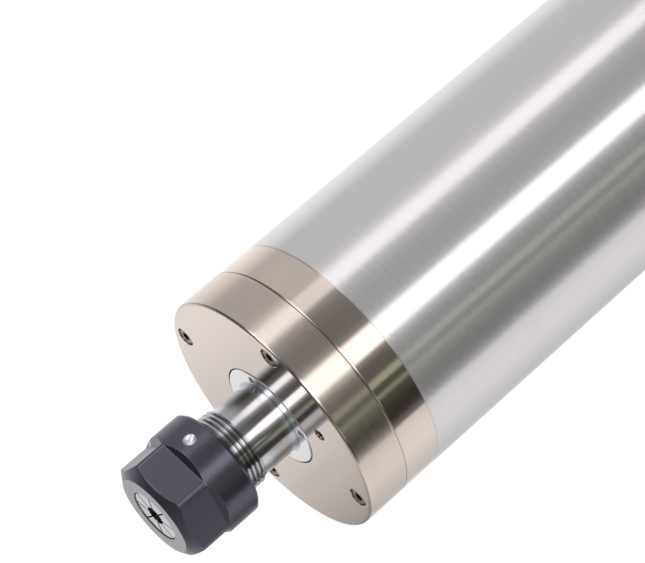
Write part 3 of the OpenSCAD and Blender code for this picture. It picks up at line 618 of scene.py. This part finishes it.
# Clock angles from the middle of a flat to a corner, crowded where the flat meets the cone.
HALF_FLAT = [0, 2, 4, 6, 8, 10, 12, 14, 16, 18, 20, 22, 24, 25.5, 26.6, 27.2, 27.6, 27.85,
             28.0, 28.15, 28.3, 28.6, 29.0, 29.5]
angles = []
for i in range(6):
    mid = FLAT_0 + 60 * i
    angles += [mid + h for h in HALF_FLAT] + [mid - h for h in HALF_FLAT[1:]] + [mid + 30]
nut = swept("nut", nut_column, sorted(a % 360 for a in angles), sharp=40)

DIMPLE, DIMPLE_Z = 104, -26.1          # the balance drilling's clock angle and station
dimple_at = spot(COLLAR_R, DIMPLE, DIMPLE_Z)
dimple_out = Vector((math.cos(math.radians(DIMPLE)), 0, math.sin(math.radians(DIMPLE))))
dimple_side = Vector((-dimple_out.z, 0, dimple_out.x))
drill = lathe("tool", [(0, -2.34), (1.9, -0.06), (2.06, 0.0), (3.0, 0.9), (0, 0.9)], 64,
              closed=False)
for v in drill.data.vertices:
    v.co = (dimple_out * (COLLAR_R * MM + v.co.y - FACE) + dimple_side * v.co.x
            + Vector((0, FACE + DIMPLE_Z * MM + v.co.z, 0)))
cut(nut, drill, sharp=40)
piece(nut, "collet_nut", "nut")


def in_dimple(c, n):
    off = c - dimple_at
    along = off.dot(dimple_out)
    return (-2.5 * MM < along < -0.05 * MM and (off - dimple_out * along).length < 1.95 * MM
            and 0.3 < abs(n.dot(dimple_out)) < 0.9)


def on_nut_face(c, n):
    return n.y < -0.97 and c.y < FACE + (NZ0 + 0.1) * MM


def on_pale_edge(c, n):
    """The hexagon's corners, and the shoulder's edge on every other flat."""
    z = (c.y - FACE) / MM
    clock = math.degrees(math.atan2(c.z, c.x))
    d = abs(flat_at(clock, FLAT_0, 6))
    every_other = round((clock - FLAT_0) / 60) % 2 == 0
    return math.hypot(c.x, c.z) > 14.5 * MM and (
        (27.7 < d < 28.45 and NZ0 + 2.5 < z < HEX + 0.4)
        or (every_other and d < 28.2 and abs(z - HEX) < 0.11))


more_finish(nut, BARE, in_dimple)
more_finish(nut, NUT_FACE, on_nut_face)
more_finish(nut, PALE_EDGE, on_pale_edge)

# ---------------------------------------------------------------- connections at the rear
WASHER_END, FITTING_HEX = 236.2, 241.5     # the fitting's hexagon lies between them


def fitting_column(a):
    """A hose fitting's section at clock angle a: hexagon, grooves, bore."""
    hexr = 6.41 / math.cos(math.radians(flat_at(a, 30, 6)))
    pts = [(2.5, 226), (4.9, 226), (4.9, WASHER_END)]
    for z in (WASHER_END, 236.3, 236.45, 236.6, 236.8, 237.2, 238, 239, 240, 240.5, 240.9,
              241.1, 241.25, 241.4, FITTING_HEX):
        body = min(7.1, 6.6 + (z - WASHER_END), 6.6 + (FITTING_HEX - z))
        pts.append((soft_min(body, hexr, 0.12), z))
    pts += rounded([(6.35, FITTING_HEX), (6.35, 242.1, 0.1), (6.7, 242.5, 0.1), (6.7, 246.2, 0.1),
                    (6.45, 246.5, 0.1), (6.45, 247.1, 0.1), (6.7, 247.4, 0.1),
                    (6.7, 253.4, 0.2), (6.1, 254, 0.1), (5.15, 254), (5.15, 247), (4.1, 247),
                    (4.1, 238), (2.5, 238)], False)
    return pts


for side, at in (("inlet", INLET), ("outlet", OUTLET)):
    fitting = swept("fitting", fitting_column, [i * 3.75 for i in range(96)], at)
    piece(fitting, side + "_fitting", "housing")
    washer = lathe("washer", [(4.9, CAP_END), (6.4, CAP_END, 0.3), (6.4, WASHER_END, 0.3),
                              (4.9, WASHER_END)], 64, at)
    piece(washer, side + "_seal", "housing")
    release = lathe("release", [(4.1, 249), (5.1, 249), (5.1, 255.9, 0.1), (5.9, 255.9, 0.1),
                                (6.2, 256.2, 0.12), (6.2, 257.4, 0.3), (5.6, 258, 0.2),
                                (4.1, 258, 0.35)], 96, at)
    piece(release, side + "_release_ring", side + "_ring")

BOLTS = [(45 + 90 * i, 11.1) for i in range(4)]
gasket = lathe("gasket", [(8, CAP_END), (13.5, CAP_END, 0.1), (13.5, 235.8, 0.1),
                          (8, 235.8)], 96)
piece(gasket, "socket_gasket", "housing")


BARREL_0, BARREL_1 = 238.6, 246.2          # the ends of the socket's thread, 1 mm in pitch
# One turn of it: (share of the pitch, radius).
BARREL_TURN = ((0, 7.92), (0.12, 7.97), (0.2, 7.97), (0.3, 7.92), (0.62, 7.42), (0.78, 7.42))


def socket_column(a):
    """The power socket's shell at clock angle a: flange, then a barrel with its thread."""
    pts = [(6.4, 231), (8, 231), (8, 235.8)] + rounded(
        [(8, 235.8), (13.5, 235.8, 0.05), (13.5, 237.4, 0.12), (13.1, 237.8, 0.12),
         (8.35, 237.8, 0.2), (7.55, 238.4, 0.1)], False)[1:]
    k = -1
    while k < 9:
        for share, r in BARREL_TURN:
            z = min(max(BARREL_0 + k + share + a / 360, BARREL_0), BARREL_1)
            pts.append((min(r, 7.4 + (z - BARREL_0) * 2, 7.4 + max(0, 246.6 - z)), z))
        k += 1
    return pts + rounded([(7.4, 246.7), (7.1, 246.8, 0.08), (6.4, 246.8, 0.1), (6.4, 231)],
                         False)[:-1]


shell = swept("shell", socket_column, [i * 3 for i in range(120)])
cut(shell, slit(90, 241, 248, 1.0, 5.4, 9))
piece(shell, "socket_shell", "housing")

PINS = [(270 + (i - 1.5) * 90, 3.584) for i in range(4)]
insert = lathe("insert", [(0, 231), (6.4, 231), (6.4, 239.8, 0.2), (0, 239.8)], 96, closed=False)
cut(insert, join("tool", [sink(p, 1.0, 239.8, 230, 0.25, 40) for p in PINS]))
piece(insert, "socket_insert", "housing")
pins = join("pins", [lathe("pin", [(0, 231), (1, 231), (1, 246.2, 0.9), (0, 246.2)], 40, p, False)
                     for p in PINS])
piece(pins, "socket_pins", "housing")
piece(cap_screws("bolts", BOLTS, d=2, length=5, hd=3.8, hh=1.4, top=239.2, way=-1, turn=12),
      "socket_screws", "housing")

# ---------------------------------------------------------------- what stays from the CAD
for name, ob in frame["nodes"].items():
    mat = MATS[SLOT[name]]
    for slot in ob.material_slots:
        slot.material = mat
    if not ob.material_slots:
        ob.data.materials.append(mat)

# ---------------------------------------------------------------- studio
scene = bpy.context.scene
scene.view_settings.view_transform = "Standard"

LEFT, RIGHT, DEEP = -0.75, 0.42, 0.7   # the floor's sides, in metres
bm = bmesh.new()
for across, along in ((LEFT, -DEEP), (RIGHT, -DEEP), (RIGHT, DEEP), (LEFT, DEEP)):
    bm.verts.new((across, along, cad_box[0][2] - 0.0002))
bm.faces.new(bm.verts)
floor = finish_mesh(bm, "studio_floor")

# The camera sees plain pale paper. Metal sees other levels, painted light and shade fitted to the
# reflections
# in the photographed steel: a row for the floor beside the body, a row ahead of it, and a painted
# dark end.
# The rows hold painted shadows near the body and painted lighter patches further out.
GLOW, CAMERA_LEVEL, FLOOR_TOP = 0.8, 0.57, 2.0     # glow's share, levels in units of top
paper = Mat("floor")
paper.t.nodes.remove(paper.b)
ray = paper.node("LightPath").outputs
mirror = paper.math("MAXIMUM", ray["Is Glossy Ray"], ray["Is Transmission Ray"])
seen = paper.math("MULTIPLY", paper.math("MAXIMUM", ray["Is Camera Ray"], mirror), GLOW)
floor_x, floor_y, _ = paper.node("SeparateXYZ",
                                 [paper.node("TexCoord").outputs["Object"]]).outputs


def painted_floor_ramp(stops):
    """Painted level of light and shade across the floor, seen only in reflections: (x in metres,
    level).
    """
    share = paper.span(floor_x, LEFT, RIGHT, 0, 1)
    return paper.ramp(share, [((x - LEFT) / (RIGHT - LEFT), c) for x, c in stops],
                      FLOOR_TOP)


# Painted shade and light beside the body: painted shadows close to its side, painted lighter
# patches beyond.
beside = painted_floor_ramp([
    (-0.75, 0.58), (-0.36, 0.66), (-0.24, 0.80), (-0.14, 0.97), (-0.06, 1.10), (0.0, 0.62),
    (0.015, 0.5), (0.022, 0.89), (0.028, 1.08), (0.035, 0.95), (0.043, 0.60), (0.052, 0.66),
    (0.064, 0.74), (0.081, 0.86), (0.108, 0.93), (0.16, 0.89), (0.31, 0.77), (0.42, 0.65)])
# Painted shade and light ahead of the nose: a painted shadow just ahead of it, a painted lighter
# patch to its left, dark far to the left.
painted_ahead_of = painted_floor_ramp([
    (-0.75, 0.02), (-0.37, 0.03), (-0.18, 0.33), (-0.12, 0.62), (-0.08, 0.76), (-0.056, 0.96),
    (-0.044, 0.89), (-0.032, 0.81), (-0.01, 0.87), (0.0, 0.86), (0.005, 0.80), (0.010, 0.69),
    (0.014, 0.66), (0.018, 0.58), (0.023, 0.50), (0.03, 0.34), (0.036, 0.20), (0.05, 0.16),
    (0.07, 0.55), (0.1, 0.8), (0.42, 0.6)])
# Far ahead, past y -0.21 to -0.30 m, the floor's reflection is painted dark: painted shade.
level = paper.mix(paper.span(floor_y, -0.30, -0.21, 0, 1), (0.03, 0.03, 0.03), painted_ahead_of)
level = paper.mix(paper.span(floor_y, -0.118, -0.113, 0, 1), level, beside)
# Reflections take these painted levels of light and shade; the camera takes the plain level.
glow = paper.node("Emission", [paper.mix(mirror, (CAMERA_LEVEL,) * 3, level), FLOOR_TOP])
matt = paper.node("BsdfDiffuse", [(0.82, 0.82, 0.82, 1)])
both = paper.node("MixShader", [seen, matt.outputs[0], glow.outputs[0]])
paper.t.links.new(both.outputs[0], paper.t.nodes["Material Output"].inputs[0])
floor.data.materials.append(paper.m)

world = bpy.data.worlds.new("studio")
scene.world = world
world.use_nodes = True
sky = Nodes(world.node_tree)
to_x, to_y, to_z = sky.node("SeparateXYZ",
                            [sky.node("TexCoord").outputs["Generated"]]).outputs
clock = sky.math("DIVIDE", sky.math("ARCTAN2", to_z, to_x), math.pi)
clock = sky.math("ADD", sky.math("MULTIPLY", clock, 0.5), 0.5)
TOP = 2.5                              # the highest level that a band may have


def bands(stops, top=TOP):
    """Light round the spindle's axis: (clock angle in degrees, level)."""
    return sky.ramp(clock, [(0.5 + a / 360, c) for a, c in stops], top)


rear_bands = bands([
    (-180, 0.58), (-170, 0.62), (-160, 0.80), (-140, 1.0), (-60, 0.9), (-11, 0.6), (-8, 0.20),
    (0, (0.050, 0.044, 0.044)), (8, (0.044, 0.040, 0.036)), (20, (0.085, 0.090, 0.070)),
    (22, (0.28, 0.30, 0.25)), (24, (0.28, 0.30, 0.25)), (26, (0.085, 0.090, 0.070)),
    (31, (0.10, 0.11, 0.085)), (32, (0.42, 0.45, 0.36)), (37, (0.42, 0.45, 0.36)),
    (38.5, (0.12, 0.12, 0.11)), (50, 0.15), (55, 0.32), (57.3, 1.6), (72.4, 1.6), (75.6, 0.28),
    (82, 0.18), (95, 0.18), (105, 0.22), (113, 0.34), (117, 0.88), (128.8, 0.90), (132.5, 0.60),
    (160, 0.61), (180, 0.58)])
front_bands = bands([
    (-180, 0.20), (-172, 0.25), (-165, 0.45), (-150, 0.85), (-120, 1.2), (-60, 0.5),
    (-12, 0.7), (-7, 0.4), (-2, 0.08), (10, 0.065), (15, (0.20, 0.21, 0.17)),
    (18, (0.42, 0.46, 0.36)), (25, (0.36, 0.38, 0.31)), (30, (0.16, 0.17, 0.14)), (40, 0.15),
    (50, 0.6), (54.8, 2.15), (73.6, 2.15), (77.5, 0.3), (82, 0.16), (95, 0.17),
    (105, 0.36), (110, 0.75), (116.5, 1.95), (130.5, 1.95), (134.5, 0.9), (139, 0.22),
    (155, 0.13), (162, 0.07), (173, 0.07), (180, 0.14)])
window = bands([(-180, 0.15), (-90, 0.0), (56, 0.0), (58, 0.4), (76, 0.4), (80, 1.0),
                (105, 0.85), (112, 0.65), (116, 1.0), (130, 1.0), (134, 0.18), (180, 0.15)],
               1.0)
# Where a direction points along the axis picks its bands; both far ends are dark. The window
# makes the bands brighter for directions that point well to the rear.
light = sky.mix(sky.span(to_y, -0.05, 0.25, 0, 1), front_bands, rear_bands)
light = sky.mix(sky.span(to_y, -0.76, -0.86, 0, 1), light, (0.04 / TOP,) * 3)
light = sky.mix(sky.span(to_y, 0.56, 0.64, 0, 1), light, (0.10 / TOP,) * 3)
gain = sky.math("MULTIPLY_ADD", window, sky.span(to_y, 0.36, 0.40, 0, 1), 1.0)
light = sky.vec("MULTIPLY", light, sky.math("MULTIPLY", gain, TOP))
light = sky.mix(sky.node("LightPath").outputs["Is Camera Ray"], light, (1.0, 1.0, 1.0))
back = sky.t.nodes["Background"]
sky.t.links.new(light, back.inputs[0])
back.inputs[1].default_value = 1.0

lamp = bpy.data.lights.new("overhead", "AREA")
lamp.shape, lamp.size, lamp.size_y = "RECTANGLE", 0.9, 0.9
lamp.energy = 7.0
over = bpy.data.objects.new("overhead", lamp)
over.location = (0.05, 0, 0.9)
over.visible_glossy = False
scene.collection.objects.link(over)

# The camera was fitted to the outlines and seams of the body in the photograph.
cam = bpy.data.objects.new("camera", bpy.data.cameras.new("camera"))
scene.collection.objects.link(cam)
cam.data.lens = 141.65
cam.data.sensor_width = 36
cam.data.clip_start = 0.01
cam.location = (0.23423, -0.33307, 0.6401)
right = Vector((0.6986, 0.7155, 0.0036)).normalized()
ahead = Vector((-0.3475, 0.3437, -0.8724)).normalized()
up = right.cross(ahead)
cam.matrix_world = Matrix((
    (right.x, up.x, -ahead.x, cam.location.x),
    (right.y, up.y, -ahead.y, cam.location.y),
    (right.z, up.z, -ahead.z, cam.location.z),
    (0, 0, 0, 1)))
scene.camera = cam
